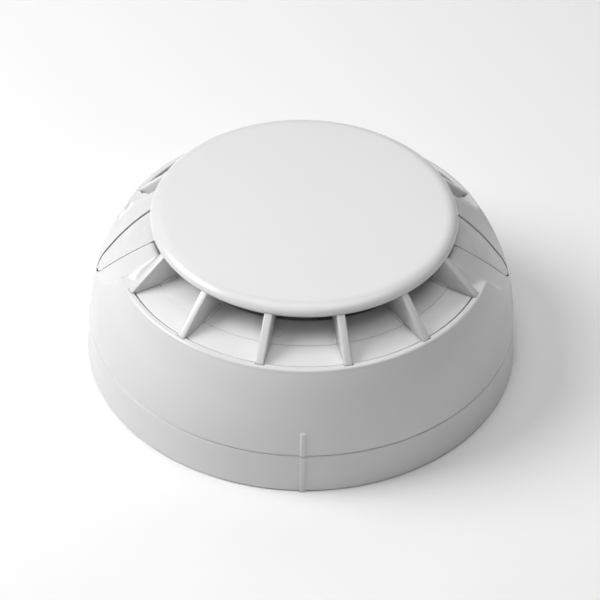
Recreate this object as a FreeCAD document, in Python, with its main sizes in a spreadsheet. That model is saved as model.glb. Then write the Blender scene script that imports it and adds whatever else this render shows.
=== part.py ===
"""Point heat detector: a twist-lock head with a vented sensing chamber, on a wired mounting base.

Millimetres. The origin is the middle of the base's mounting face, +Z runs out through the head, and -Y is
the front, where the alignment marks of head and base meet. X points at the right-hand indicator lens.
"""
import FreeCAD, Part
import math
import os

import Sketcher

DOC = FreeCAD.newDocument("heat_detector")
V = FreeCAD.Vector


# ---------------------------------------------------------------- driving dimensions
SHEET = DOC.addObject("Spreadsheet::Sheet", "sizes")
SIZES = {
    # base moulding
    "base_radius": 50.0, "base_top_radius": 49.15, "base_height": 9.7, "base_wall": 1.2, "floor_thick": 2.0,
    "edge_round": 0.4, "merge": 0.5,
    "cable_hole_radius": 12.0, "fixing_radius": 30.0, "fixing_slot_radius": 2.25, "fixing_slot_travel": 5.0,
    "lug_count": 3.0, "ledge_inner": 45.2, "ledge_low": 7.0, "ledge_high": 8.6, "ledge_angle": 14.0,
    "stop_low": 4.6, "stop_angle": 2.0, "stop_turn": 8.5,
    "mark_angle": 1.4, "mark_proud": 0.35, "head_mark_top": 15.9,
    # terminals on the base
    "terminal_count": 4.0, "terminal_radius": 24.0, "terminal_post_radius": 4.0, "terminal_post_top": 4.3,
    "guide_gap": 8.4, "guide_thick": 1.2, "guide_length": 8.0, "guide_top": 7.0,
    "contact_width": 5.0, "contact_thick": 0.6, "contact_top": 9.6, "contact_back": 4.2, "contact_bend": 7.0,
    "contact_crest": 10.2, "contact_crest_end": 10.8, "contact_skin": 0.3, "contact_tail": 12.6,
    "contact_tail_drop": 3.0, "contact_tail_end": 13.1, "contact_tail_rise": 2.6,
    "clamp_side": 7.6, "clamp_thick": 1.0, "clamp_low": 5.3,
    "screw_shank": 1.6, "screw_hole": 1.7, "screw_head": 2.9, "screw_head_thick": 1.8, "screw_gap": 0.08,
    "screw_tip": 1.2, "slot_width": 0.8, "slot_depth": 0.9,
    # cover: an arc dome with a rounded lip round the vents
    "head_low": 10.05, "dome_mid": 9.1, "dome_level": 6.49, "dome_radius": 40.12, "cover_wall": 1.9,
    "lip_level": 28.2, "lip_top": 28.72, "lip_inner": 41.35, "lip_outer": 42.0, "lip_round": 0.75,
    "lip_under": 26.9, "lip_inside": 26.3, "lip_edge": 0.2,
    "facet_top_reach": 31.0, "facet_top": 34.55, "facet_low_reach": 49.5, "facet_low": 16.4,
    "facet_radius": 60.0, "facet_thick": 1.9, "facet_headroom": 14.0, "facet_span": 42.6,
    "tongue_end": 33.6, "tongue_end_half": 9.0, "tongue_corner": 36.5, "tongue_half": 14.2,
    "tongue_corner_radius": 6.0, "tongue_side_radius": 14.6, "tongue_foot": 46.5, "tongue_foot_half": 8.3,
    "tongue_run_out": 6.0, "leaf_over": 1.0, "leaf_under": 2.0,
    "leaf_start": 32.4, "leaf_start_half": 6.1, "leaf_shoulder": 45.6, "leaf_shoulder_half": 2.9,
    "leaf_tip": 46.8, "leaf_side_radius": 35.0, "leaf_gap": 0.4, "lens_thick": 2.3, "lens_proud": 0.1,
    "boss_radius": 2.6, "boss_place": 38.8, "boss_top": 26.2, "boss_hole": 1.1, "web_thick": 1.4,
    # vents
    "station_count": 14.0, "rib_thick": 1.8, "rib_inner": 30.2, "rib_outer": 42.0, "rib_head": 34.0,
    "rib_gap": 0.05, "rib_over": 0.1,
    "notch_width": 2.2, "notch_floor": 28.05, "notch_clear": 0.15,
    "hoop_inner": 29.6, "hoop_outer": 33.4, "hoop_low": 35.2,
    "vent_outer": 40.95, "vent_level": 28.35, "crease_radius": 35.3, "crease_level": 28.9,
    "throat_radius": 29.6, "throat_level": 30.4, "throat_inner": 28.4, "chamber_floor": 27.2,
    "chamber_under": 25.6, "collar_outer": 5.0, "collar_inner": 3.4, "collar_top": 29.5,
    "chamber_foot": 0.3, "chamber_flare": 1.0, "vent_drop": 0.3, "throat_chamfer": 0.6, "vent_clear": 0.35,
    # top disc
    "disc_flat": 31.5, "disc_top": 38.5, "disc_round": 2.8, "disc_edge": 34.24, "disc_low": 36.3,
    # chassis and electronics
    "chassis_radius": 46.6, "chassis_low": 10.6, "chassis_high": 12.4,
    "lug_inner": 42.4, "lug_outer": 44.8, "foot_outer": 47.4, "foot_low": 5.0, "foot_high": 6.6,
    "lug_angle": 10.0, "case_screw_low": 8.8, "case_screw_shank": 1.05, "case_screw_tip": 20.0,
    "case_screw_head": 2.5, "case_screw_clear": 0.4, "drill_over": 0.1,
    "board_radius": 38.2, "board_notch": 3.2, "board_low": 14.0, "board_high": 15.6,
    "standoff_place": 27.0, "standoff_radius": 2.4, "board_screw_head": 2.0, "board_screw_shank": 1.1,
    "board_screw_hole": 1.2, "board_screw_tip": 11.4, "board_screw_top": 17.2,
    "head_contact_place": 34.0, "head_contact_length": 15.0, "head_contact_width": 3.6,
    "head_contact_low": 10.0, "head_pin_radius": 0.8, "head_pin_hole": 0.9, "head_pin_top": 16.4,
    "mast_outer": 3.0, "mast_inner": 1.6, "mast_top": 30.6, "bead_radius": 1.25, "bead_level": 33.0,
    "lead_radius": 0.25, "lead_spread": 0.75,
    "led_place": 36.0, "led_radius": 2.0, "led_height": 6.2, "pipe_half": 1.8, "pipe_low": 22.4,
    "pipe_length": 7.0,
    "capacitor_x": 9.0, "capacitor_y": 21.0, "capacitor_height": 8.0, "capacitor_radius": 3.4,
}

# turns of the four terminals and of the three board screws; slope on which the side facets are set out
QUARTERS = [45.0, 135.0, 225.0, 315.0]
THIRDS = [30.0, 150.0, 270.0]
FACET_LEAN = 45.0
VANES_A_SIDE = 6

# board parts: the middles of the like blocks on the board, then their length, width and height
BOARD_PARTS = {
    "processor_chip": ([(-13.0, 10.0)], (8.0, 8.0, 1.4)),
    "bridge_rectifier": ([(14.0, -14.0)], (7.0, 5.5, 2.6)),
    "chip_resistors": ([(x, -12.0) for x in (-20.0, -16.8, -13.6, -10.4, -7.2)], (1.4, 2.6, 0.6)),
    "filter_capacitors": ([(x, 19.0) for x in (9.0, 13.0, 17.0)], (2.2, 3.4, 1.6)),
}


def fill_sheet():
    """Writes every driving dimension to the sheet as a plain number with its alias."""
    for row, (name, value) in enumerate(SIZES.items(), start=1):
        SHEET.set(f"A{row}", name)
        SHEET.set(f"B{row}", str(value))
        SHEET.setAlias(f"B{row}", name)
    DOC.recompute()


fill_sheet()


def bind(text):
    """Turns an expression over dimension names into one that reads the sheet."""
    out, word = "", ""
    for char in str(text) + " ":
        if char.isalnum() or char == "_":
            word += char
            continue
        out += f"sizes.{word}" if word in SIZES else word
        out, word = out + char, ""
    return out.strip()


def value(text):
    """The present value of an expression over dimension names."""
    found = SHEET.evalExpression(bind(text))
    return float(getattr(found, "Value", found))


# ---------------------------------------------------------------- sketch and feature helpers
def body(name):
    made = DOC.addObject("PartDesign::Body", name)
    made.Label = name
    return made


def sketch(owner, plane, lift="0", turn=0.0):
    """A sketch on one of the body's own planes; XZ and YZ sketches draw (reach, height)."""
    origin = [f for f in owner.Origin.OriginFeatures if f.Role == plane][0]
    made = owner.newObject("Sketcher::SketchObject", f"{owner.Name}_sketch")
    made.AttachmentSupport = [(origin, "")]
    made.MapMode = "FlatFace"
    axis = V(0, 0, 1) if plane == "XY_Plane" else V(0, 1, 0)
    made.AttachmentOffset = FreeCAD.Placement(V(0, 0, value(lift)), FreeCAD.Rotation(axis, turn))
    if lift != "0":
        made.setExpression("AttachmentOffset.Base.z", bind(lift))
    return made


def pin(made, index, end, place):
    """Fixes one point of a sketch at a pair of expressions."""
    for kind, text in zip(("DistanceX", "DistanceY"), place):
        if value(text) == 0.0:
            line = -2 if kind == "DistanceX" else -1
            made.addConstraint(Sketcher.Constraint("PointOnObject", index, end, line))
        else:
            number = made.addConstraint(Sketcher.Constraint(kind, -1, 1, index, end, value(text)))
            made.setExpression(f"Constraints[{number}]", bind(text))


def outline(made, points):
    """A closed outline. Each point is (x, y), or (x, y, radius) where an arc leads on to the next point;
    the radius is positive when the arc turns left and negative when it turns right."""
    count = len(points)
    for index, point in enumerate(points):
        here = V(value(point[0]), value(point[1]), 0)
        after = points[(index + 1) % count]
        there = V(value(after[0]), value(after[1]), 0)
        if len(point) == 3:
            radius = value(point[2])
            chord = there - here
            rise = math.sqrt(radius**2 - (chord.Length / 2) ** 2)
            side = V(-chord.y, chord.x, 0).normalize() * math.copysign(1, radius)
            middle = (here + there) * 0.5 + side * rise
            circle = Part.Circle(middle, V(0, 0, 1), abs(radius))
            first, last = (here, there) if radius > 0 else (there, here)
            turns = [math.atan2(p.y - middle.y, p.x - middle.x) for p in (first, last)]
            made.addGeometry(Part.ArcOfCircle(circle, turns[0], turns[1]), False)
            number = made.addConstraint(Sketcher.Constraint("Radius", index, abs(radius)))
            sign = "" if radius > 0 else "-"
            made.setExpression(f"Constraints[{number}]", bind(f"{sign}({point[2]})"))
        else:
            made.addGeometry(Part.LineSegment(here, there), False)

    def start(index):
        return 2 if len(points[index]) == 3 and value(points[index][2]) < 0 else 1

    for index in range(count):
        after = (index + 1) % count
        made.addConstraint(Sketcher.Constraint("Coincident", index, 3 - start(index), after, start(after)))
        pin(made, index, start(index), points[index][:2])
    return made


def circle(made, x, y, radius):
    number = made.addGeometry(Part.Circle(V(value(x), value(y), 0), V(0, 0, 1), value(radius)), False)
    pin(made, number, 3, (x, y))
    place = made.addConstraint(Sketcher.Constraint("Radius", number, value(radius)))
    made.setExpression(f"Constraints[{place}]", bind(radius))
    return made


def rectangle(made, low, high):
    return outline(made, [low, (high[0], low[1]), high, (low[0], high[1])])


def feature(owner, kind, profile, **settings):
    """Adds a feature to a body, binds its text settings, and checks that it changed the solid."""
    before = owner.Tip.Shape.Volume if owner.Tip and not owner.Tip.Shape.isNull() else 0.0
    made = owner.newObject(kind, f"{owner.Name}_{kind.split('::')[1].lower()}")
    made.Profile = profile
    for key, setting in settings.items():
        if isinstance(setting, str) and key in ("Length", "Angle"):
            made.setExpression(key, bind(setting))
        else:
            setattr(made, key, setting)
    DOC.recompute()
    after = made.Shape.Volume
    grew = kind in ("PartDesign::Pad", "PartDesign::Revolution")
    if (after - before) * (1 if grew else -1) <= 1e-6:
        raise RuntimeError(f"{made.Name} changed nothing")
    return made


def revolve(owner, profile, angle="360", both=False):
    return feature(owner, "PartDesign::Revolution", profile, ReferenceAxis=(profile, ["V_Axis"]), Angle=angle,
                   Midplane=both)


def pad(owner, profile, length, both=False):
    return feature(owner, "PartDesign::Pad", profile, Length=length, Midplane=both)


def pocket(owner, profile, length, both=False, flip=False):
    return feature(owner, "PartDesign::Pocket", profile, Length=length, Midplane=both, Reversed=flip)


def polar(owner, features, count):
    made = owner.newObject("PartDesign::PolarPattern", f"{owner.Name}_polar")
    made.Originals = features
    made.Axis = (owner.Origin.OriginFeatures[2], [""])
    made.Angle = 360
    made.setExpression("Occurrences", bind(count))
    owner.Tip = made
    DOC.recompute()
    return made


def primitive(kind, name, place=("0", "0", "0"), turn=0.0, **sizes):
    """A Part primitive with its sizes and position bound to the sheet, turned about Z where asked."""
    made = DOC.addObject(f"Part::{kind}", name)
    for key, text in sizes.items():
        made.setExpression(key, bind(text))
    made.Placement = FreeCAD.Placement(V(*[value(p) for p in place]), FreeCAD.Rotation(V(0, 0, 1), turn))
    for axis, text in zip("xyz", place):
        made.setExpression(f"Placement.Base.{axis}", bind(text))
    return made


def cylinder(name, x, y, low, high, radius):
    return primitive("Cylinder", name, (x, y, low), Radius=radius, Height=f"({high}) - ({low})")


def box(name, low, high, turn=0.0):
    lengths = [f"({b}) - ({a})" for a, b in zip(low, high)]
    return primitive("Box", name, low, turn, Length=lengths[0], Width=lengths[1], Height=lengths[2])


def combine(kind, name, parts):
    made = DOC.addObject(f"Part::{kind}", name)
    made.Shapes = parts
    return made


def cut(name, solid, tool):
    made = DOC.addObject("Part::Cut", name)
    made.Base, made.Tool = solid, tool
    return made


def turned(source, name, angle):
    """A linked copy of a solid, turned about the main axis."""
    made = DOC.addObject("Part::Compound", name)
    made.Links = [source]
    made.Placement = FreeCAD.Placement(V(), FreeCAD.Rotation(V(0, 0, 1), angle))
    return made


NODES = {}


def node(name, made):
    made.Label = name
    NODES[name] = made
    return made


def dome(level, out="0"):
    """The cover's outer radius at a level, or a shell's set in or out from it."""
    return f"dome_mid + sqrt((dome_radius + {out})^2 - ({level} - dome_level)^2)"


def ring(owner, points, plane="XZ_Plane"):
    return revolve(owner, outline(sketch(owner, plane), points))


def sector(owner, points, angle, turn=0.0):
    """Revolves an outline over a small angle, half of it each side of the turned plane."""
    return revolve(owner, outline(sketch(owner, "XZ_Plane", turn=turn), points), angle, True)


# ---------------------------------------------------------------- base
BASE_INSIDE = "base_top_radius - base_wall"


def base_ring():
    made = body("base_ring")
    ring(made, [
        ("cable_hole_radius", "0"), ("base_radius", "0"),
        ("base_top_radius", "base_height - edge_round", "edge_round"),
        ("base_top_radius - edge_round", "base_height"), (BASE_INSIDE, "base_height"),
        (BASE_INSIDE, "floor_thick"), ("cable_hole_radius", "floor_thick"),
    ])
    sector(made, [
        ("base_top_radius - merge", "0"), ("base_radius + mark_proud", "0"),
        ("base_top_radius + mark_proud", "base_height - edge_round"),
        ("base_top_radius - merge", "base_height"),
    ], "mark_angle", -90.0)
    lugs = []
    stop_turn = -SIZES["stop_turn"]
    for low, angle, turn in (("ledge_low", "ledge_angle", 0.0), ("stop_low", "stop_angle", stop_turn)):
        lugs.append(sector(made, [
            ("ledge_inner", low), (f"{BASE_INSIDE} + merge", low),
            (f"{BASE_INSIDE} + merge", "ledge_high"), ("ledge_inner", "ledge_high"),
        ], angle, turn))
    polar(made, lugs, "lug_count")
    post = circle(sketch(made, "XY_Plane", "floor_thick - merge", 45.0), "terminal_radius", "0",
                  "terminal_post_radius")
    posts = [pad(made, post, "terminal_post_top - floor_thick + merge")]
    guides = sketch(made, "XY_Plane", "floor_thick - merge", 45.0)
    near, far = "terminal_radius - guide_length / 2", "terminal_radius + guide_length / 2"
    outline(guides, [(near, "guide_gap / 2"), (far, "guide_gap / 2"), (far, "guide_gap / 2 + guide_thick"),
                     (near, "guide_gap / 2 + guide_thick")])
    posts.append(pad(made, guides, "guide_top - floor_thick + merge"))
    guides = sketch(made, "XY_Plane", "floor_thick - merge", 45.0)
    outline(guides, [(near, "-guide_gap / 2 - guide_thick"), (far, "-guide_gap / 2 - guide_thick"),
                     (far, "-guide_gap / 2"), (near, "-guide_gap / 2")])
    posts.append(pad(made, guides, "guide_top - floor_thick + merge"))
    hole = circle(sketch(made, "XY_Plane", "terminal_post_top", 45.0), "terminal_radius", "0", "screw_hole")
    posts.append(pocket(made, hole, "terminal_post_top - screw_tip + merge"))
    polar(made, posts, "terminal_count")
    for side in ("", "-"):
        middle, reach = f"{side}fixing_radius", "fixing_slot_travel / 2"
        slot = rectangle(sketch(made, "XY_Plane", "floor_thick"),
                         ("-fixing_slot_radius", f"{middle} - {reach}"),
                         ("fixing_slot_radius", f"{middle} + {reach}"))
        pocket(made, slot, "floor_thick")
        for end in ("-", "+"):
            spot = circle(sketch(made, "XY_Plane", "floor_thick"), "0", f"{middle} {end} {reach}",
                          "fixing_slot_radius")
            pocket(made, spot, "floor_thick")
    node("base_ring", made)


def terminal_contact(number, angle):
    """A terminal plate under the clamp, running out into the raised spring that meets the head's contact."""
    made = body(f"terminal_contact_{number}")
    low, high = "terminal_post_top", "terminal_post_top + contact_thick"
    under = "contact_top - contact_thick"
    band = outline(sketch(made, "XZ_Plane"), [
        ("terminal_radius - contact_back", low), ("terminal_radius + contact_bend", low),
        ("terminal_radius + contact_crest", under), ("terminal_radius + contact_crest_end", under),
        ("terminal_radius + contact_tail", "contact_top - contact_tail_drop"),
        ("terminal_radius + contact_tail_end", "contact_top - contact_tail_rise"),
        ("terminal_radius + contact_crest_end + contact_skin", "contact_top"),
        ("terminal_radius + contact_crest - contact_skin", "contact_top"),
        ("terminal_radius + contact_bend - contact_skin", high), ("terminal_radius - contact_back", high),
    ])
    pad(made, band, "contact_width", True)
    hole = circle(sketch(made, "XY_Plane", high), "terminal_radius", "0", "screw_hole")
    pocket(made, hole, "contact_thick + merge")
    made.Placement = FreeCAD.Placement(V(), FreeCAD.Rotation(V(0, 0, 1), angle))
    node(made.Name, made)


def terminal_clamp(number, angle):
    made = body(f"terminal_clamp_{number}")
    half = "clamp_side / 2"
    plate = rectangle(sketch(made, "XY_Plane", "clamp_low"), (f"terminal_radius - {half}", f"-{half}"),
                      (f"terminal_radius + {half}", half))
    pad(made, plate, "clamp_thick")
    hole = circle(sketch(made, "XY_Plane", "clamp_low + clamp_thick"), "terminal_radius", "0", "screw_hole")
    pocket(made, hole, "clamp_thick")
    made.Placement = FreeCAD.Placement(V(), FreeCAD.Rotation(V(0, 0, 1), angle))
    node(made.Name, made)


def terminal_screw(number, angle):
    made = body(f"terminal_screw_{number}")
    seat = "clamp_low + clamp_thick + screw_gap"
    shank = circle(sketch(made, "XY_Plane", "screw_tip"), "terminal_radius", "0", "screw_shank")
    pad(made, shank, f"{seat} - screw_tip + merge")
    head = circle(sketch(made, "XY_Plane", seat), "terminal_radius", "0", "screw_head")
    pad(made, head, "screw_head_thick")
    slot = rectangle(sketch(made, "XY_Plane", f"{seat} + screw_head_thick"),
                     ("terminal_radius - screw_head - merge", "-slot_width / 2"),
                     ("terminal_radius + screw_head + merge", "slot_width / 2"))
    pocket(made, slot, "slot_depth")
    made.Placement = FreeCAD.Placement(V(), FreeCAD.Rotation(V(0, 0, 1), angle))
    node(made.Name, made)


# ---------------------------------------------------------------- cover, its side facets and the lenses
def cover_shell():
    """The domed shell with its lip, front mark, screw bosses and the notches that take the rib ends."""
    made = body("cover_shell")
    ring(made, [
        (dome("head_low"), "head_low", "dome_radius"), (dome("lip_level"), "lip_level", "lip_round"),
        ("lip_outer", "lip_top"), ("lip_inner + lip_edge", "lip_top"), ("lip_inner", "lip_top - lip_edge"),
        ("lip_inner", "lip_under"),
        (dome("lip_inside", "-cover_wall"), "lip_inside", "-(dome_radius - cover_wall)"),
        (dome("head_low", "-cover_wall"), "head_low"),
    ])
    sector(made, [
        (dome("head_low", "-merge"), "head_low"),
        (dome("head_low", "mark_proud"), "head_low", "dome_radius + mark_proud"),
        (dome("head_mark_top - mark_proud", "mark_proud"), "head_mark_top - mark_proud"),
        (dome("head_mark_top", "-merge"), "head_mark_top"),
    ], "mark_angle", -90.0)
    boss = circle(sketch(made, "XY_Plane", "chassis_high", 45.0), "boss_place", "0", "boss_radius")
    bosses = [pad(made, boss, "boss_top - chassis_high")]
    web = rectangle(sketch(made, "XY_Plane", "chassis_high", 45.0), ("boss_place", "-web_thick / 2"),
                    (dome("boss_top", "-merge"), "web_thick / 2"))
    bosses.append(pad(made, web, "boss_top - chassis_high"))
    hole = circle(sketch(made, "XY_Plane", "chassis_high", 45.0), "boss_place", "0", "boss_hole")
    bosses.append(pocket(made, hole, "case_screw_tip - chassis_high + merge", flip=True))
    polar(made, bosses, "terminal_count")
    notch = sketch(made, "XY_Plane", "lip_top + merge", 90.0 + 180.0 / SIZES["station_count"])
    rectangle(notch, ("lip_inner - merge", "-notch_width / 2"),
              ("rib_outer + notch_clear", "notch_width / 2"))
    polar(made, [pocket(made, notch, "lip_top + merge - notch_floor")], "station_count")
    return made


def facet_arc(out="0"):
    """Ends of the side facet's profile arc, set out from it or in."""
    shift = f"({out}) * {math.cos(math.radians(FACET_LEAN)):.4f}"
    low = (f"facet_low_reach + {shift}", f"facet_low + {shift}")
    return low, (f"facet_top_reach + {shift}", f"facet_top + {shift}")


def profile_slab(name, out, inside):
    """A slab that follows the facet's profile, from one offset to another, wide enough for the tongue."""
    made = body(name)
    low, high = facet_arc(out)
    low_in, high_in = facet_arc(inside)
    band = outline(sketch(made, "XZ_Plane"), [
        (*low, f"facet_radius + {out}"), high, (*high_in, f"-(facet_radius + {inside})"), low_in,
    ])
    pad(made, band, "facet_span", True)
    return made


def plan_prism(name, points, low="head_low", high="disc_low"):
    made = body(name)
    pad(made, outline(sketch(made, "XY_Plane", low), points), f"{high} - {low}")
    return made


def tongue_plan(name, out="0"):
    """The side facet seen from above, a broad tongue with rounded inner corners, set out by a clearance."""
    end, half, foot = f"tongue_end - {out}", f"tongue_end_half + {out}", f"tongue_foot_half + {out}"
    corner, wide = "tongue_corner", f"tongue_half + {out}"
    side, round_ = f"tongue_side_radius + {out}", f"tongue_corner_radius + {out}"
    return plan_prism(name, [
        (end, f"-({half})", round_), (corner, f"-({wide})", side), ("tongue_foot", f"-({foot})"),
        ("tongue_foot + tongue_run_out", f"-({foot})"), ("tongue_foot + tongue_run_out", foot),
        ("tongue_foot", foot, side),
        (corner, wide, round_), (end, half),
    ])


def leaf_plan(name, out):
    """The lens seen from above: a leaf that narrows to a rounded tip, set out or in by half the gap."""
    shoulder, tip = f"leaf_shoulder_half + ({out})", f"leaf_tip + ({out})"
    start = f"leaf_start_half + ({out})"
    rise, half = SIZES["leaf_tip"] - SIZES["leaf_shoulder"], SIZES["leaf_shoulder_half"]
    tip_radius = f"{(rise**2 + half**2) / (2 * rise):.4f} + ({out})"
    side = f"leaf_side_radius + ({out})"
    return plan_prism(name, [
        ("leaf_start", f"-({start})", side), ("leaf_shoulder", f"-({shoulder})", tip_radius),
        (tip, "0", tip_radius), ("leaf_shoulder", shoulder, side), ("leaf_start", start),
    ])


def mirrored(source, name):
    made = DOC.addObject("Part::Mirroring", name)
    made.Source, made.Normal = source, V(1, 0, 0)
    return made


def both_sides(source):
    return [source, mirrored(source, f"{source.Name}_left")]


def outer_cover():
    shell = cover_shell()
    form = body("dome_form")
    ring(form, [("0", "head_low"), (dome("head_low"), "head_low", "dome_radius"),
                (dome("disc_low"), "disc_low"), ("0", "disc_low")])
    plan = tongue_plan("tongue_plan")
    above = combine("MultiCommon", "facet_cutter", [profile_slab("above_facet", "facet_headroom", "0"), plan])
    slab = combine("MultiCommon", "tongue", [profile_slab("facet_slab", "0", "-facet_thick"), plan, form])
    through = profile_slab("leaf_slab", "leaf_over", "-facet_thick - leaf_under")
    leaf = combine("MultiCommon", "leaf_hole", [through, leaf_plan("leaf_hole_plan", "leaf_gap / 2")])
    open_shell = cut("open_shell", shell, combine("MultiFuse", "facet_cutters", both_sides(above)))
    joined = combine("MultiFuse", "shell_with_tongues", [open_shell, *both_sides(slab)])
    made = cut("outer_cover", joined, combine("MultiFuse", "leaf_holes", both_sides(leaf)))
    node("outer_cover", made)


def indicator_lenses():
    """A leaf-shaped lens in each facet, with a light pipe down towards its lamp."""
    leaf = combine("MultiCommon", "lens_leaf", [profile_slab("lens_slab", "lens_proud", "-lens_thick"),
                                                leaf_plan("lens_plan", "-leaf_gap / 2")])
    pipe = box("light_pipe", ("led_place - pipe_half", "-pipe_half", "pipe_low"),
               ("led_place + pipe_half", "pipe_half", "pipe_low + pipe_length"))
    right = combine("MultiFuse", "indicator_lens_right", [leaf, pipe])
    node("indicator_lens_right", right)
    node("indicator_lens_left", mirrored(right, "indicator_lens_left"))


# ---------------------------------------------------------------- vents and top disc
def vent_floor():
    """The funnel that leads air in under the disc, closed below by the sensing chamber's floor."""
    made = body("vent_funnel")
    ring(made, [
        ("collar_inner", "chamber_under"), ("throat_radius + chamber_foot", "chamber_under"),
        ("throat_radius + chamber_flare", "chamber_floor + chamber_flare"),
        ("crease_radius", "chamber_floor"),
        ("vent_outer", "chamber_floor - vent_drop"), ("vent_outer", "vent_level"),
        ("crease_radius", "crease_level"), ("throat_radius", "throat_level"),
        ("throat_inner + throat_chamfer", "throat_level"), ("throat_inner", "throat_level - throat_chamfer"),
        ("throat_inner", "chamber_floor"), ("collar_outer", "chamber_floor"),
        ("collar_outer", "collar_top"), ("collar_inner", "collar_top"),
    ])
    room = both_sides(tongue_plan("tongue_room", "vent_clear"))
    node("vent_floor", cut("vent_floor", made, combine("MultiFuse", "tongue_rooms", room)))


def vane_ring():
    """Twelve radial vanes in two groups of six, held by a hoop under the disc."""
    made = body("vane_ring")
    ring(made, [("hoop_inner", "hoop_low"), ("hoop_outer", "hoop_low"), ("hoop_outer", "disc_low"),
                ("hoop_inner", "disc_low")])
    step = 360.0 / SIZES["station_count"]
    for first in (step, 180.0 + step):
        vane = sketch(made, "XZ_Plane", turn=first)
        outline(vane, [
            ("rib_inner", "throat_level"), ("crease_radius", "crease_level + rib_gap"),
            ("vent_outer", "vent_level + rib_gap"), ("rib_outer", "notch_floor + notch_clear"),
            ("rib_outer", "lip_top + rib_over"),
            ("rib_head", "disc_low"), ("rib_inner", "disc_low"),
        ])
        first_vane = pad(made, vane, "rib_thick", True)
        vanes = made.newObject("PartDesign::PolarPattern", "vanes")
        vanes.Originals = [first_vane]
        vanes.Axis = (made.Origin.OriginFeatures[2], [""])
        vanes.Angle, vanes.Occurrences = (VANES_A_SIDE - 1) * step, VANES_A_SIDE
        made.Tip = vanes
        DOC.recompute()
    node("vane_ring", made)


def top_disc():
    made = body("top_disc")
    ring(made, [("0", "disc_low"), ("disc_edge", "disc_low", "disc_round"), ("disc_flat", "disc_top"),
                ("0", "disc_top")])
    node("top_disc", made)


# ---------------------------------------------------------------- chassis and electronics
def chassis():
    """The head's back plate, with the board's standoffs above."""
    made = body("chassis")
    ring(made, [("0", "chassis_low"), ("chassis_radius", "chassis_low"), ("chassis_radius", "chassis_high"),
                ("0", "chassis_high")])
    post = circle(sketch(made, "XY_Plane", "chassis_high - merge", 30.0), "standoff_place", "0",
                  "standoff_radius")
    posts = [pad(made, post, "board_low - chassis_high + merge")]
    hole = circle(sketch(made, "XY_Plane", "board_low", 30.0), "standoff_place", "0", "board_screw_hole")
    posts.append(pocket(made, hole, "board_low - board_screw_tip + drill_over"))
    polar(made, posts, "lug_count")
    hole = circle(sketch(made, "XY_Plane", "chassis_high", 45.0), "boss_place", "0",
                  "boss_hole + case_screw_clear")
    holes = [pocket(made, hole, "chassis_high - chassis_low")]
    hole = circle(sketch(made, "XY_Plane", "chassis_high", 45.0), "head_contact_place", "0", "head_pin_hole")
    holes.append(pocket(made, hole, "chassis_high - chassis_low"))
    polar(made, holes, "terminal_count")
    node("chassis", made)


def bayonet_feet():
    """Three hooked feet under the back plate, which turn in under the base's ledges."""
    foot = body("bayonet_foot")
    sector(foot, [
        ("lug_inner", "foot_low"), ("foot_outer", "foot_low"), ("foot_outer", "foot_high"),
        ("lug_outer", "foot_high"), ("lug_outer", "chassis_low"), ("lug_inner", "chassis_low"),
    ], "lug_angle")
    count = int(SIZES["lug_count"])
    feet = [turned(foot, f"bayonet_foot_{number}", number * 360.0 / count) for number in range(count)]
    node("bayonet_feet", combine("MultiFuse", "bayonet_feet", feet))


def head_contact(number, angle):
    """A contact blade under the chassis, with the pin that carries it up to the board."""
    made = body(f"head_contact_{number}")
    blade = rectangle(sketch(made, "XY_Plane", "head_contact_low"),
                      ("head_contact_place - head_contact_width / 2", "-head_contact_length / 2"),
                      ("head_contact_place + head_contact_width / 2", "head_contact_length / 2"))
    pad(made, blade, "chassis_low - head_contact_low")
    rod = circle(sketch(made, "XY_Plane", "head_contact_low"), "head_contact_place", "0", "head_pin_radius")
    pad(made, rod, "head_pin_top - head_contact_low")
    made.Placement = FreeCAD.Placement(V(), FreeCAD.Rotation(V(0, 0, 1), angle))
    node(made.Name, made)


def circuit_board():
    made = body("circuit_board")
    plate = circle(sketch(made, "XY_Plane", "board_low"), "0", "0", "board_radius")
    pad(made, plate, "board_high - board_low")
    depth = "board_high - board_low"
    spots = []
    for place, radius in (("boss_place", "board_notch"), ("head_contact_place", "head_pin_hole")):
        hole = circle(sketch(made, "XY_Plane", "board_high", 45.0), place, "0", radius)
        spots.append(pocket(made, hole, depth))
    polar(made, spots, "terminal_count")
    hole = circle(sketch(made, "XY_Plane", "board_high", 30.0), "standoff_place", "0", "board_screw_hole")
    polar(made, [pocket(made, hole, depth)], "lug_count")
    node("circuit_board", made)


def screws(name, place, angles, low, seat, shank, head, head_high):
    """A group of pan-head screws, from tip to head, the head above or below the shank."""
    solids = []
    for number, angle in enumerate(angles):
        x, y = (f"{place} * {f(math.radians(angle)):.6f}" for f in (math.cos, math.sin))
        bottom, top = sorted((low, seat), key=value)
        solids.append(cylinder(f"{name}_shank_{number}", x, y, bottom, top, shank))
        bottom, top = sorted((seat, head_high), key=value)
        solids.append(cylinder(f"{name}_head_{number}", x, y, bottom, top, head))
    node(name, combine("MultiFuse", name, solids))


def thermistor():
    """The sensing bead on two fine leads above a mast that stands on the board."""
    tube = cut("thermistor_mast", cylinder("mast_outside", "0", "0", "board_high", "mast_top", "mast_outer"),
               cylinder("mast_bore", "0", "0", "board_high", "mast_top", "mast_inner"))
    node("thermistor_mast", tube)
    leads = [cylinder(f"lead_{i}", f"{side}lead_spread", "0", "board_high", "bead_level", "lead_radius")
             for i, side in enumerate(("", "-"))]
    bead = primitive("Sphere", "bead", ("0", "0", "bead_level"), Radius="bead_radius")
    bare = combine("MultiFuse", "lead_pair", leads)
    node("thermistor_leads", cut("thermistor_leads", bare, bead))
    node("thermistor_bead",
         primitive("Sphere", "thermistor_bead", ("0", "0", "bead_level"), Radius="bead_radius"))


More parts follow.
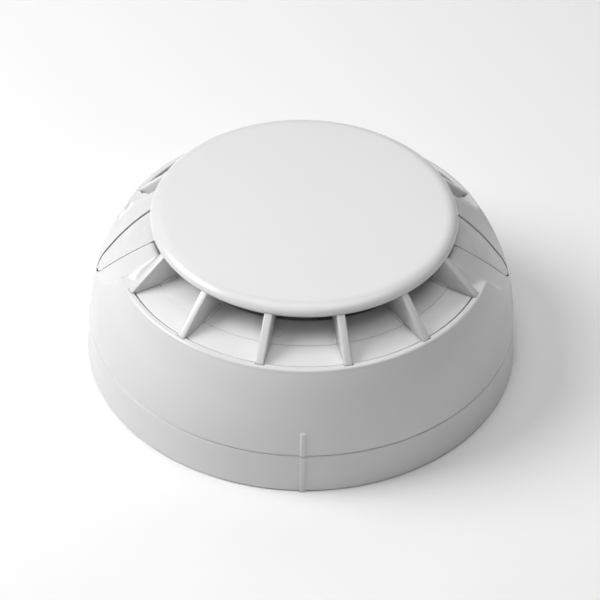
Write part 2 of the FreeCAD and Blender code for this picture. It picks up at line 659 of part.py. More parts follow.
def led(name, side):
    """A domed lamp under each light pipe."""
    x, low = f"{side}led_place", "board_high"
    shoulder = f"{low} + led_height - led_radius"
    solids = [cylinder(f"{name}_body", x, "0", low, shoulder, "led_radius"),
              primitive("Sphere", f"{name}_dome", (x, "0", shoulder), Radius="led_radius")]
    node(name, combine("MultiFuse", name, solids))


def chips(name, places, size):
    """A group of like board parts, each a block of the same length, width and height."""
    solids = []
    length, width, height = size
    for number, (x, y) in enumerate(places):
        solids.append(box(f"{name}_{number}", (str(x - length / 2), str(y - width / 2), "board_high"),
                          (str(x + length / 2), str(y + width / 2), f"board_high + {height}")))
    node(name, combine("MultiFuse", name, solids) if len(solids) > 1 else solids[0])


def build():
    base_ring()
    for number, angle in enumerate(QUARTERS, start=1):
        terminal_contact(number, angle)
        terminal_clamp(number, angle)
        terminal_screw(number, angle)
        head_contact(number, angle)
    outer_cover()
    indicator_lenses()
    vent_floor()
    vane_ring()
    top_disc()
    chassis()
    bayonet_feet()
    circuit_board()
    screws("case_screws", "boss_place", QUARTERS, "case_screw_tip", "chassis_low", "case_screw_shank",
           "case_screw_head", "case_screw_low")
    screws("board_screws", "standoff_place", THIRDS, "board_screw_tip", "board_high", "board_screw_shank",
           "board_screw_head", "board_screw_top")
    thermistor()
    led("indicator_lamp_right", "")
    led("indicator_lamp_left", "-")
    for name, (places, size) in BOARD_PARTS.items():
        chips(name, places, size)
    node("storage_capacitor", cylinder("storage_capacitor", "-capacitor_x", "-capacitor_y", "board_high",
                                        "board_high + capacitor_height", "capacitor_radius"))


def export():
    DOC.recompute()
    for made in DOC.Objects:
        bad = {"Invalid", "Error"} & set(made.State)
        if bad:
            raise RuntimeError(f"{made.Name}: {made.State} {getattr(made, 'getStatusString', lambda: '')()}")
    os.makedirs("parts", exist_ok=True)
    for name, made in NODES.items():
        shape = made.Shape
        if shape.isNull() or not shape.isValid():
            raise RuntimeError(f"{name} has no valid shape")
        shape.exportStep(f"parts/{name}.step")
        print(f"{name:24s} {len(shape.Solids)} solids  {shape.Volume:9.1f} mm3")


build()
export()
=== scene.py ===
"""Models and finishes a twist-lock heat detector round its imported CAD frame.

Laid out as an add-on and run as a script. Lengths in the tables are millimetres; Blender's are metres.
The origin is the middle of the mounting face, +Z runs out through the head, -Y is the marked front
and +X the right-hand lens.
"""
import math

import bpy
import numpy as np
from mathutils import Matrix, Vector


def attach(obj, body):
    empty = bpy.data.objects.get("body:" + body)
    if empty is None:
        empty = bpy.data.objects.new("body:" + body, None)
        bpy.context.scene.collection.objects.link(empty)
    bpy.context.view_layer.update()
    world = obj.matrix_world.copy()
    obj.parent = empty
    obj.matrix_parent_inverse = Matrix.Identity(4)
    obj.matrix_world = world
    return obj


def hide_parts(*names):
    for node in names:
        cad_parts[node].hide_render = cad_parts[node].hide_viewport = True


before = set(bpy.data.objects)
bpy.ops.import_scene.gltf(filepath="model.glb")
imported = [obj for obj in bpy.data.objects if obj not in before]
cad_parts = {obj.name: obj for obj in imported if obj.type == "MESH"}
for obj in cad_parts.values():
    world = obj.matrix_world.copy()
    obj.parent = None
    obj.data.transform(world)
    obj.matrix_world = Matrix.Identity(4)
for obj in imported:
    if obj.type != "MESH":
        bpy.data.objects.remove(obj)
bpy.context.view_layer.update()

bl_info = {
    "name": "Heat Detector",
    "version": (1, 0, 0),
    "blender": (4, 5, 0),
    "location": "View3D > Sidebar > Detector",
    "description": "Models and finishes a twist-lock heat detector round its CAD frame",
    "category": "Object",
}

MM = 0.001
MERGE = 0.002 * MM

# the dome, its lip and the plain radius of the lip's inner edge
DOME_MID, DOME_LEVEL, DOME_RADIUS, WALL = 9.1, 6.49, 40.12, 1.9
HEAD_LOW, LIP_LEVEL, LIP_TOP, LIP_OUTER, LIP_INNER = 9.84, 28.2, 28.72, 42.0, 41.35
LIP_ROUND_MID, LIP_ROUND = (42.123, 27.98), 0.75
LIP_UNDER, WALL_TOP, PLAIN_EDGE = 26.9, 26.3, 0.2
# the side facet: its arc in reach and height, how it blends into the dome, and its span in degrees
FACET_HIGH, FACET_LOW, FACET_RADIUS = (31.0, 34.55), (49.5, 16.4), 60.0
FACET_BLEND, FACET_BLEND_RUN = 0.45, 3
FOLD_SHIFT, FLANK_SHIFT = 0.25, 0.6
FACET_SPAN = 30.0
# the tongue seen from above: its inner end, its corner and the fade of its edge in degrees, its flank
TONGUE_END = 33.1
CORNER_FIRST, CORNER_LAST, CORNER_RISE, LIP_RAMP = 19.5, 22.7, 4.0, 1.6
EDGE_FADE, EDGE_FADE_RUN = 22.0, 2.0
FLANK, FLANK_RUN, FLANK_OUT = 1.3, 4.0, 1.25
SIDE_MID, SIDE_RADIUS = (34.69, -0.29), 14.6
# the indicator windows and the lenses in them
LEAF_NEAR, LEAF_SHOULDER, LEAF_TIP, LEAF_RADIUS = (32.4, 6.1), (45.6, 2.9), 46.8, 35.0
WINDOW_NEAR, WINDOW_GROW = 31.0, 0.3
LENS_NEAR, LENS_TIP, LENS_CROWN, LENS_RECESS = 32.4, 46.84, 0.2, 0.2
LENS_GAP, TIP_GROW, TIP_FROM, TIP_RUN = 0.26, 0.3, 44.5, 2
LENS_SINK = (-1.4, 0, -2.0)
PIPE_NEAR, PIPE_FAR, PIPE_HALF, PIPE_LOW, PIPE_TALL = 34.2, 37.8, 1.8, 22.4, 6.0
# vents: vanes, their roots, the funnel and the pin mark on it
STATIONS, RIB_THICK, ROOT_OVER = 14, 1.8, 0.4
VANE = [(30.2, 30.38), (35.3, 28.9), (40.9, 28.37), (41.95, 28.2),
        (41.95, 28.86), (34.05, 36.3), (30.2, 36.3)]
VANE_ROOT = [(29.8, 30.2), (35.2, 28.7), (35.2, 29.2), (34.9, 29.4), (30.1, 30.82), (29.8, 30.7)]
HOOP = [(29.8, 35.2), (33.2, 35.2), (33.4, 35.4), (33.4, 36.3), (29.6, 36.3), (29.6, 35.4)]
NOTCH_NEAR, NOTCH_FAR, NOTCH_HALF, NOTCH_FLOOR, NOTCH_TALL = 40.9, 42.04, 1.0, 28.05, 2.0
VENT_CLEAR, VENT_SMOOTH = 0.08, 12.0
FUNNEL_HIGH, FUNNEL_LOW = (29.9, 30.32), (35.26, 28.95)
PIN_RADIUS, PIN_WIRE, PIN_REACH, PIN_LEVEL, PIN_TURN = 0.92, 0.17, 32.5, 30.36, -100.0
# painted shade in the funnel's inner mouth: the reach where it is full, the reach where it ends, and its dark
# grey
THROAT_SHADE_FULL, THROAT_SHADE_END, THROAT_SHADE_COLOUR = 28.7, 29.3, (0.28, 0.28, 0.28, 1.0)
# the disc: its flat, its top, and the corner that its rim rolls down to
DISC_FLAT, DISC_TOP, DISC_EDGE, RIM_STEPS = 31.2, 38.5, (34.24, 36.5), 14
# painted light: how much lighter than the shell the funnel and the disc are painted, though they are the same
# white plastic
VENT_PAINTED_LIGHT, DISC_PAINTED_LIGHT = 1.06, 1.04
# the base: its top, its fixing slots' ends, its terminals and its ledges and stops (low, degrees, turn)
BASE_TOP = 9.7
FIXING_ENDS, FIXING_RADIUS, FIXING_CUT = ((32.5, 0.0), (27.5, 180.0)), 2.25, 4.0
TERMINAL_REACH, TERMINAL_FIRST, TERMINAL_OTHERS = 24, 45, (135.0, 225.0, 315.0)
POST = [(1.7, 1.5), (4.0, 1.5), (4.0, 4.1), (3.8, 4.3), (1.8, 4.3), (1.7, 4.2)]
GUIDE = [(20, 4.2, 1.5), (28, 4.2, 1.5), (28, 5.4, 1.5), (20, 5.4, 1.5)]
GUIDE_TALL, GUIDE_STEP = 5.5, -9.6
LEDGE_NEAR, LEDGE_FAR, LEDGE_HIGH = 45.2, 48.2, 8.6
LEDGES = ((7.0, 14.0, 0.0), (4.6, 2.0, -8.5))
# the front marks: half a width, the depth of their root, and how far the head's stands out
MARK_HALF, MARK_ROOT, MARK_PROUD, MARK_TOP = 0.6, 0.9, 0.33, 15.3
# the stage: lights as (name, place, size, the setting of their power, width), and the camera
LIGHT_AIM = (0, 0, 0.02)
LIGHTS = (
    ("key_light", (-0.58, 0.04, 0.54), 0.50, "key_power", None),
    ("top_light", (0.04, -0.06, 0.75), 0.70, "top_power", None),
    ("front_light", (-0.10, -0.52, 0.66), 0.35, "front_power", None),
    ("back_panel", (0.0, 0.9, 0.93), 0.4, "panel_power", 1.4),
)
FLOOR_SIZE, FLOOR_DROP, FLOOR_COLOUR, FLOOR_ROUGHNESS = 8.0, -0.0002, (0.90, 0.90, 0.90, 1), 0.9
SENSOR, FOCAL, SHIFT = 36.0, 109.415, (-0.00236, 0.05654)


# ---------------------------------------------------------------- settings
class DetectorSizes(bpy.types.PropertyGroup):
    """Sizes that may be changed without leaving the CAD shape."""

    fold: bpy.props.FloatProperty(
        name="Fold width", description="Width over which a side facet folds into the dome",
        default=1.7 * MM, min=0.2 * MM, max=4 * MM, unit="LENGTH")
    tongue_edge: bpy.props.FloatProperty(
        name="Tongue edge", description="Radius of the tongue's inner edge",
        default=1.1 * MM, min=0.2 * MM, max=1.2 * MM, unit="LENGTH")
    disc_crown: bpy.props.FloatProperty(
        name="Disc crown", description="How far the disc falls from its middle to its rim",
        default=0.18 * MM, min=0.0, max=0.5 * MM, unit="LENGTH")
    rib_edge: bpy.props.FloatProperty(
        name="Rib edge", description="Bevel along the ribs' edges",
        default=0.3 * MM, min=0.05 * MM, max=0.5 * MM, unit="LENGTH")


class DetectorFinish(bpy.types.PropertyGroup):
    """Colours and gloss of the mouldings."""

    shell: bpy.props.FloatVectorProperty(
        name="Shell", description="Colour of the head's white mouldings", subtype="COLOR", size=4,
        default=(0.72, 0.72, 0.72, 1.0), min=0.0, max=1.0)
    base: bpy.props.FloatVectorProperty(
        name="Base", description="Colour of the mounting base", subtype="COLOR", size=4,
        default=(0.70, 0.70, 0.70, 1.0), min=0.0, max=1.0)
    lens: bpy.props.FloatVectorProperty(
        name="Lens", description="Colour of the indicator lenses", subtype="COLOR", size=4,
        default=(0.74, 0.74, 0.74, 1.0), min=0.0, max=1.0)
    roughness: bpy.props.FloatProperty(
        name="Roughness", description="Roughness of the mouldings' skin", default=0.22, min=0.0, max=1.0,
        subtype="FACTOR")


class DetectorStudio(bpy.types.PropertyGroup):
    """Camera and lights."""

    elevation: bpy.props.FloatProperty(
        name="Elevation", description="Camera height above the horizon", default=math.radians(42.551),
        subtype="ANGLE")
    swing: bpy.props.FloatProperty(
        name="Swing", description="Camera turn about the upright axis", default=math.radians(-1.009),
        subtype="ANGLE")
    roll: bpy.props.FloatProperty(
        name="Roll", description="Camera turn about its own line of sight", default=math.radians(1.3155),
        subtype="ANGLE")
    distance: bpy.props.FloatProperty(
        name="Distance", description="From the camera to the middle of the mounting face", default=0.430,
        unit="LENGTH")
    key_power: bpy.props.FloatProperty(
        name="Key power", description="Power of the large soft light on the left", default=4.9, unit="POWER")
    top_power: bpy.props.FloatProperty(
        name="Top power", description="Power of the soft light overhead", default=2.7, unit="POWER")
    front_power: bpy.props.FloatProperty(
        name="Front power", description="Power of the weak light high in front", default=0.35, unit="POWER")
    panel_power: bpy.props.FloatProperty(
        name="Panel power", description="Power of the broad panel behind, mirrored in the disc", default=2.0,
        unit="POWER")
    ambient: bpy.props.FloatProperty(
        name="Ambient", description="Strength of the even light all round", default=0.03, min=0.0)


# ---------------------------------------------------------------- modelling helpers
def activate(obj):
    """Makes obj the only selected object, in object mode."""
    if bpy.context.object and bpy.context.object.mode != "OBJECT":
        bpy.ops.object.mode_set(mode="OBJECT")
    bpy.ops.object.select_all(action="DESELECT")
    obj.hide_set(False)
    obj.select_set(True)
    bpy.context.view_layer.objects.active = obj
    return obj


def clear_selection():
    if bpy.context.object and bpy.context.object.mode != "OBJECT":
        bpy.ops.object.mode_set(mode="OBJECT")
    bpy.ops.object.select_all(action="DESELECT")


def pen(name, points, closed=True):
    """Draws a line through points (millimetres, in three dimensions) by extruding one point along them."""
    clear_selection()
    bpy.ops.mesh.primitive_plane_add(size=MM, location=(0, 0, 0))
    obj = bpy.context.object
    obj.name = obj.data.name = name
    bpy.ops.object.mode_set(mode="EDIT")
    bpy.ops.mesh.select_all(action="SELECT")
    bpy.ops.mesh.merge(type="CENTER")
    places = [Vector(p) * MM for p in points]
    bpy.ops.transform.translate(value=places[0])
    for here, there in zip(places, places[1:]):
        bpy.ops.mesh.extrude_vertices_move(TRANSFORM_OT_translate={"value": there - here})
    if closed:
        bpy.ops.mesh.extrude_vertices_move(TRANSFORM_OT_translate={"value": places[0] - places[-1]})
        bpy.ops.mesh.select_all(action="SELECT")
        bpy.ops.mesh.remove_doubles(threshold=MERGE)
    bpy.ops.mesh.select_all(action="SELECT")
    return obj


def upright(points, y=0.0):
    """Section points (reach, height) as places in the XZ plane."""
    return [(r, y, z) for r, z in points]


def arc(middle, radius, first, last, steps):
    """Points on an arc, from one angle to another in degrees."""
    turns = np.radians(np.linspace(first, last, steps + 1))
    return [(middle[0] + radius * math.cos(t), middle[1] + radius * math.sin(t)) for t in turns]


def line(start, end, steps):
    """Points along a straight run, both ends included."""
    return [tuple(start[i] + (end[i] - start[i]) * k / steps for i in range(2)) for k in range(steps + 1)]


def tidy_mesh():
    """Closes seams and poles in edit mode, points the faces outwards and leaves edit mode."""
    bpy.ops.mesh.select_all(action="SELECT")
    bpy.ops.mesh.remove_doubles(threshold=MERGE)
    bpy.ops.mesh.normals_make_consistent(inside=False)
    bpy.ops.object.mode_set(mode="OBJECT")


# sectors of (steps, degrees): an even round, and one that is finer where the tongues' corners come
EVEN = [(192, 360.0)]
SIDED = [(20, 14.0), (44, 11.0), (86, 130.0), (44, 11.0), (40, 28.0),
         (44, 11.0), (86, 130.0), (44, 11.0), (20, 14.0)]


def spun(name, section, sectors=EVEN, closed=True):
    """Spins a section about the upright axis, in sectors of (steps, degrees)."""
    obj = pen(name, upright(section), closed)
    for steps, angle in sectors:
        bpy.ops.mesh.spin(steps=steps, angle=math.radians(angle), center=(0, 0, 0), axis=(0, 0, 1))
    tidy_mesh()
    return obj


def slab(name, points, push):
    """Fills a closed line and extrudes it by push (millimetres)."""
    obj = pen(name, points)
    bpy.ops.mesh.edge_face_add()
    bpy.ops.mesh.extrude_region_move(TRANSFORM_OT_translate={"value": Vector(push) * MM})
    tidy_mesh()
    return obj


def bevel(obj, width, segments=3, angle=30.0):
    """Rounds every edge sharper than angle; width in millimetres."""
    activate(obj)
    edge = obj.modifiers.new("round", "BEVEL")
    edge.width, edge.segments, edge.limit_method = width * MM, segments, "ANGLE"
    edge.angle_limit = math.radians(angle)
    bpy.ops.object.modifier_apply(modifier=edge.name)
    return obj


def carve(target, tool):
    """Cuts a tool from the target and removes the tool."""
    activate(target)
    change = target.modifiers.new("carve", "BOOLEAN")
    change.operation, change.solver, change.object = "DIFFERENCE", "EXACT", tool
    before = len(target.data.polygons)
    bpy.ops.object.modifier_apply(modifier=change.name)
    if len(target.data.polygons) in (0, before):
        raise RuntimeError(f"{tool.name} changed nothing on {target.name}")
    bpy.data.objects.remove(tool)
    return target


def turned(source, angle, name=None, mirror=False):
    """A copy of source with its own mesh, turned about the upright axis, or mirrored across YZ."""
    made = source.copy()
    made.data = source.data.copy()
    made.name = name or source.name
    bpy.context.scene.collection.objects.link(made)
    made.data.transform(Matrix.Rotation(math.radians(angle), 4, "Z"))
    if mirror:
        made.data.transform(Matrix.Scale(-1, 4, (1, 0, 0)))
        made.data.flip_normals()
    return made


def joined(parts, name):
    """Several objects made one."""
    activate(parts[0])
    for part in parts[1:]:
        part.select_set(True)
    bpy.ops.object.join()
    obj = bpy.context.object
    obj.name = obj.data.name = name
    return obj


def finished(obj, body, nodes, material, angle=38.0):
    """Smooths a piece, gives it its finish and hands it to the frame in place of its CAD nodes."""
    activate(obj)
    bpy.ops.object.shade_smooth_by_angle(angle=math.radians(angle))
    obj.data.materials.clear()
    obj.data.materials.append(material)
    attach(obj, body)
    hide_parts(*nodes)
    return obj


# ---------------------------------------------------------------- shape of the cover
def facet_centre():
    """Middle of the facet's arc, in reach and height."""
    (x0, z0), (x1, z1) = FACET_HIGH, FACET_LOW
    chord = math.hypot(x1 - x0, z1 - z0)
    rise = math.sqrt(FACET_RADIUS**2 - (chord / 2) ** 2)
    nx, nz = (z1 - z0) / chord, -(x1 - x0) / chord
    return (x0 + x1) / 2 + nx * rise, (z0 + z1) / 2 + nz * rise


FACET_REACH, FACET_LEVEL = facet_centre()


def facet_height(x):
    return FACET_LEVEL + math.sqrt(FACET_RADIUS**2 - (x - FACET_REACH) ** 2)


def smooth(t):
    t = min(max(t, 0.0), 1.0)
    return t * t * (3 - 2 * t)


def soft_min(a, b, width):
    if width <= 1e-6:
        return min(a, b)
    h = min(max(0.5 + (b - a) / (2 * width), 0.0), 1.0)
    return b + (a - b) * h - width * h * (1 - h)


def tongue_reach(off):
    """Reach of the tongue's inner edge, or of the lip's, at an angle off the lens's axis in degrees."""
    if off <= CORNER_FIRST:
        return TONGUE_END
    if off <= CORNER_LAST:
        share = (off - CORNER_FIRST) / (CORNER_LAST - CORNER_FIRST)
        return TONGUE_END + CORNER_RISE * (1 - math.sqrt(max(1 - share**2, 0.0)))
    corner = TONGUE_END + CORNER_RISE
    return corner + (LIP_INNER - corner) * math.sin(math.pi / 2 * min((off - CORNER_LAST) / LIP_RAMP, 1.0))


def surface(r, plain, off, fold):
    """Height of the outer skin over a reach: the plain dome or lip, or the side facet let into it."""
    turn = math.radians(off)
    x, y = r * math.cos(turn), r * math.sin(turn)
    inside = SIDE_RADIUS - math.hypot(x - SIDE_MID[0], y - SIDE_MID[1])
    wide = fold * (1 + FLANK * smooth((LIP_OUTER - r) / FLANK_RUN))
    share = smooth((inside + FOLD_SHIFT * fold + FLANK_SHIFT * (wide - fold)) / wide)
    if share == 0.0:
        return plain
    facet = facet_height(x)
    if r > LIP_OUTER:
        facet = soft_min(plain, facet, FACET_BLEND * min((r - LIP_OUTER) / FACET_BLEND_RUN, 1.0))
    return plain + (facet - plain) * share


def dome_arc(radius, low, high, steps):
    """Points on the dome, or on its inner wall, between two levels."""
    ends = [math.degrees(math.asin((z - DOME_LEVEL) / radius)) for z in (low, high)]
    return arc((DOME_MID, DOME_LEVEL), radius, *ends, steps)


def cover_section(off, fold, edge):
    """(reach, height) points up the outside, over the lip or the tongue's edge, and down the inside."""
    points = [(48.86, HEAD_LOW), (48.98, HEAD_LOW + 0.03), (49.05, HEAD_LOW + 0.1)]
    points += [(r, surface(r, z, off, fold)) for r, z in dome_arc(DOME_RADIUS, HEAD_LOW + 0.2, LIP_LEVEL, 46)]
    for r, z in arc(LIP_ROUND_MID, LIP_ROUND, 25.0, 99.4, 6):
        points.append((r, surface(r, z, off, fold)))
    end = tongue_reach(off)
    depth = PLAIN_EDGE + (edge - PLAIN_EDGE) * (1 - smooth((off - EDGE_FADE) / EDGE_FADE_RUN))
    probe = end + depth * 1.6
    fall = surface(probe - 0.1, LIP_TOP, off, fold) - surface(probe + 0.1, LIP_TOP, off, fold)
    lean = math.atan(max(fall, 0) / 0.2)
    touch = end + depth * (1 + math.sin(lean))
    for k in range(1, 21):
        r = LIP_OUTER + (touch - LIP_OUTER) * k / 20
        points.append((r, surface(r, LIP_TOP, off, fold)))
    level = points[-1][1] - depth * math.cos(lean)
    points += arc((end + depth, level), depth, 90 - math.degrees(lean), 180.0, 8)[1:]
    points += [(end, z) for z in np.linspace(level, LIP_UNDER, 6)[1:]]
    for r, z in dome_arc(DOME_RADIUS - WALL, WALL_TOP, HEAD_LOW, 12):
        above = DOME_LEVEL + math.sqrt(DOME_RADIUS**2 - (r - DOME_MID) ** 2)
        points.append((r, min(z, surface(r, above, off, fold) - WALL * 0.9)))
    return points


def settle(obj, plain, section):
    """Moves each point of a spun form from its place on the plain section to the same place on the
    section for its own angle off the lenses' axis."""
    flat = np.array(plain)
    known = {}
    for vertex in obj.data.vertices:
        x, y, z = (c / MM for c in vertex.co)
        reach, turn = math.hypot(x, y), math.degrees(math.atan2(y, x))
        off = round(min(abs(turn), 180.0 - abs(turn)), 4)
        if off > FACET_SPAN:
            continue
        if off not in known:
            known[off] = section(off)
        number = int(np.argmin((flat[:, 0] - reach) ** 2 + (flat[:, 1] - z) ** 2))
        r, z = known[off][number]
        vertex.co = Vector((x * r / reach, y * r / reach, z)) * MM
    obj.data.update()


def leaf_half(x, grow=0.0):
    """Half the lens's width at a reach."""
    (x0, y0), (x1, y1), tip, radius = LEAF_NEAR, LEAF_SHOULDER, LEAF_TIP, LEAF_RADIUS
    if x > x1:
        blunt = ((tip - x1) ** 2 + y1**2) / (2 * (tip - x1))
        return math.sqrt(max((blunt + grow) ** 2 - (x - tip + blunt) ** 2, 0.0))
    chord = math.hypot(x1 - x0, y1 - y0)
    rise = math.sqrt(radius**2 - (chord / 2) ** 2)
    mid = ((x0 + x1) / 2 + (y1 - y0) / chord * rise, (y0 + y1) / 2 - (x1 - x0) / chord * rise)
    return mid[1] + math.sqrt((radius + grow) ** 2 - (x - mid[0]) ** 2)


def leaf_outline(grow, level):
    """The lens seen from above, a leaf with a blunt tip, grown all round."""
    shoulder, tip = LEAF_SHOULDER[0], LEAF_TIP + grow
    xs = list(np.linspace(WINDOW_NEAR, shoulder, 18))
    xs += [shoulder + (tip - shoulder) * math.sin(t) for t in np.linspace(0.25, 1.35, 6)]
    upper = [(x, leaf_half(x, grow), level) for x in xs]
    return upper + [(tip, 0.0, level)] + [(x, -y, z) for x, y, z in reversed(upper)]


def tongue_outline(grow, level):
    """The tongue's outline seen from above, grown all round by a clearance."""
    turns = np.linspace(1.0, CORNER_LAST, 24)
    reaches = [(tongue_reach(off) - grow, math.radians(off)) for off in turns]
    corner = [(r * math.cos(turn), r * math.sin(turn)) for r, turn in reaches]
    side = arc(SIDE_MID, SIDE_RADIUS + FLANK_OUT + grow, 81.5, 38.0, 14)
    half = corner + side + [(52.0, side[-1][1])]
    return [(x, y, level) for x, y in half] + [(x, -y, level) for x, y in reversed(half)]


def both_sides(tool):
    """A tool and its twin on the other side of the object."""
    return tool, turned(tool, 180.0)


def mark(name, outer):
    """A narrow upright rib over the front of a moulding, with rounded edges and ends."""
    inner = [(r - MARK_ROOT, z) for r, z in reversed(outer)]
    rib = slab(name, upright(outer + inner, -MARK_HALF), (0, 2 * MARK_HALF, 0))
    bevel(rib, 0.22, 3, 40.0)
    rib.data.transform(Matrix.Rotation(math.radians(-90), 4, "Z"))
    return rib


# ---------------------------------------------------------------- finishes
def new_material(name):
    made = bpy.data.materials.new(name)
    made.use_nodes = True
    tree = made.node_tree
    return made, tree, tree.nodes["Principled BSDF"]


def noise(tree, scale, detail=2.0, stretch=(1, 1, 1)):
    """Noise on the piece's own coordinates, in features per metre."""
    coords, mapping = tree.nodes.new("ShaderNodeTexCoord"), tree.nodes.new("ShaderNodeMapping")
    mapping.inputs["Scale"].default_value = stretch
    tree.links.new(coords.outputs["Object"], mapping.inputs["Vector"])
    made = tree.nodes.new("ShaderNodeTexNoise")
    made.inputs["Scale"].default_value = scale
    made.inputs["Detail"].default_value = detail
    tree.links.new(mapping.outputs["Vector"], made.inputs["Vector"])
    return made.outputs["Fac"]


def spread(tree, source, low, high):
    """A texture's middle values spread from low to high."""
    made = tree.nodes.new("ShaderNodeMapRange")
    made.inputs["From Min"].default_value, made.inputs["From Max"].default_value = 0.3, 0.7
    made.inputs["To Min"].default_value, made.inputs["To Max"].default_value = low, high
    tree.links.new(source, made.inputs["Value"])
    return made.outputs["Result"]


def tint(tree, factor, first, second):
    """A colour between two, by a texture."""
    made = tree.nodes.new("ShaderNodeMix")
    made.data_type = "RGBA"
    made.inputs["A"].default_value, made.inputs["B"].default_value = first, second
    tree.links.new(factor, made.inputs["Factor"])
    return made.outputs["Result"]


def relief(tree, shader, height, strength, depth):
    made = tree.nodes.new("ShaderNodeBump")
    made.inputs["Strength"].default_value, made.inputs["Distance"].default_value = strength, depth * MM
    tree.links.new(height, made.inputs["Height"])
    tree.links.new(made.outputs["Normal"], shader.inputs["Normal"])


def shade(colour, by):
    return tuple(min(max(c * by, 0.0), 1.0) for c in colour[:3]) + (1.0,)


def moulded(name, colour, roughness, peel=0.05, drift=0.985):
    """Moulded plastic: a faint orange-peel skin, slow drift in shade and small changes of gloss."""
    made, tree, shader = new_material(name)
    factor = spread(tree, noise(tree, 45.0, 3.0), 0.0, 1.0)
    tree.links.new(tint(tree, factor, shade(colour, drift), colour), shader.inputs["Base Color"])
    gloss = spread(tree, noise(tree, 340.0, 2.0), roughness - 0.012, roughness + 0.018)
    tree.links.new(gloss, shader.inputs["Roughness"])
    relief(tree, shader, noise(tree, 1400.0, 2.0), peel, 0.05)
    shader.inputs["IOR"].default_value = 1.5
    return made


def paint_throat_shade(made):
    """Paints shade into a moulding's colour inside the funnel's inner mouth: a dark grey stands in for the
    shade deep in the chamber under the disc.
    """
    tree = made.node_tree
    shader = tree.nodes["Principled BSDF"]
    skin = shader.inputs["Base Color"].links[0].from_socket
    coords, split = tree.nodes.new("ShaderNodeTexCoord"), tree.nodes.new("ShaderNodeSeparateXYZ")
    reach, share = tree.nodes.new("ShaderNodeVectorMath"), tree.nodes.new("ShaderNodeMapRange")
    flat = tree.nodes.new("ShaderNodeCombineXYZ")
    tree.links.new(coords.outputs["Object"], split.inputs["Vector"])
    for axis in "XY":
        tree.links.new(split.outputs[axis], flat.inputs[axis])
    reach.operation = "LENGTH"
    tree.links.new(flat.outputs["Vector"], reach.inputs[0])
    share.inputs["From Min"].default_value = THROAT_SHADE_FULL * MM
    share.inputs["From Max"].default_value = THROAT_SHADE_END * MM
    tree.links.new(reach.outputs["Value"], share.inputs["Value"])
    mixed = tree.nodes.new("ShaderNodeMix")
    mixed.data_type = "RGBA"
    mixed.inputs["A"].default_value = THROAT_SHADE_COLOUR
    tree.links.new(share.outputs["Result"], mixed.inputs["Factor"])
    tree.links.new(skin, mixed.inputs["B"])
    tree.links.new(mixed.outputs["Result"], shader.inputs["Base Color"])
    return made


def metal(name, colour, roughness, stretch):
    """Plated or rolled metal with fine drawn lines and cloudy tarnish."""
    made, tree, shader = new_material(name)
    factor = spread(tree, noise(tree, 300.0, 4.0), 0.0, 1.0)
    tree.links.new(tint(tree, factor, shade(colour, 0.8), colour), shader.inputs["Base Color"])
    lines = noise(tree, 900.0, 3.0, stretch)
    tree.links.new(spread(tree, lines, roughness - 0.08, roughness + 0.12), shader.inputs["Roughness"])
    relief(tree, shader, lines, 0.15, 0.03)
    shader.inputs["Metallic"].default_value = 1.0
    return made


def resin(name, colour, roughness, clear=0.0, depth=0.2):
    """Cast resin or a translucent moulding, with soft internal clouding."""
    made, tree, shader = new_material(name)
    factor = spread(tree, noise(tree, 380.0, 3.0), 0.0, 1.0)
    tree.links.new(tint(tree, factor, shade(colour, 0.93), colour), shader.inputs["Base Color"])
    tree.links.new(spread(tree, noise(tree, 260.0, 2.0), roughness - 0.01, roughness + 0.02),
                   shader.inputs["Roughness"])
    relief(tree, shader, noise(tree, 500.0, 1.0), 0.03, 0.03)
    shader.inputs["Transmission Weight"].default_value = clear
    shader.inputs["Subsurface Weight"].default_value = depth
    shader.inputs["Subsurface Scale"].default_value = 1.2 * MM
    return made


def laminate(name):
    """Circuit board: green solder mask over copper runs, with the glass weave showing faintly."""
    made, tree, shader = new_material(name)
    coords = tree.nodes.new("ShaderNodeTexCoord")
    bricks = tree.nodes.new("ShaderNodeTexBrick")
    bricks.inputs["Scale"].default_value = 260.0
    bricks.inputs["Mortar Size"].default_value = 0.06
    bricks.inputs["Color1"].default_value = (0.010, 0.120, 0.045, 1)
    bricks.inputs["Color2"].default_value = (0.012, 0.135, 0.052, 1)
    bricks.inputs["Mortar"].default_value = (0.060, 0.260, 0.110, 1)
    tree.links.new(coords.outputs["Object"], bricks.inputs["Vector"])
    tree.links.new(bricks.outputs["Color"], shader.inputs["Base Color"])
    tree.links.new(spread(tree, noise(tree, 600.0, 2.0), 0.25, 0.38), shader.inputs["Roughness"])
    relief(tree, shader, bricks.outputs["Fac"], 0.3, 0.04)
    return made


FINISHES = {}


